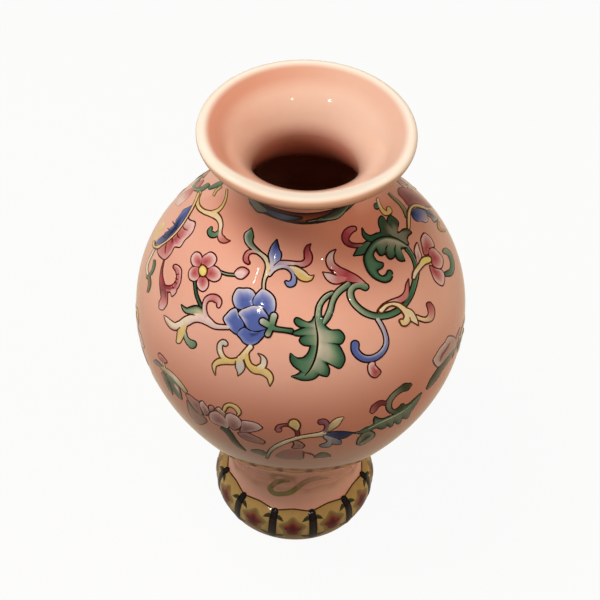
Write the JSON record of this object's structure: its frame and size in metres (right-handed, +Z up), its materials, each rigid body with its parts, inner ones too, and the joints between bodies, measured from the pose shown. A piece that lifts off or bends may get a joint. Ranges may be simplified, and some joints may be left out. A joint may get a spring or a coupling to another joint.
{
  "type": "porcelain vase",
  "caption": "Baluster vase in pink-glazed porcelain with a rolled trumpet mouth, round belly, narrow waist and hollow foot, painted with scrolling lotus; holds flowers or stands as an ornament.",
  "frame": {"origin": "centre of the foot ring, at the level of the surface that the vase stands on", "axes": "+Z up along the vase's axis of revolution, -Y towards the side that the picture shows"},
  "size_m": [0.127, 0.127, 0.2],
  "materials": {
    "pink_glaze": "gloss",
    "ivory_glaze": "gloss",
    "foot_enamel": "gloss",
    "bare_clay": "matt",
    "slip": "matt"
  },
  "bodies": {
    "root": {"foot": "foot_enamel", "base_disc": "bare_clay", "lower_body": "pink_glaze", "upper_body": "pink_glaze", "trumpet_mouth": "pink_glaze", "lip_roll": "ivory_glaze", "base_slip": "slip", "waist_slip": "slip", "belly_slip": "slip", "neck_slip": "slip", "lip_slip": "slip"}
  },
  "joints": []
}
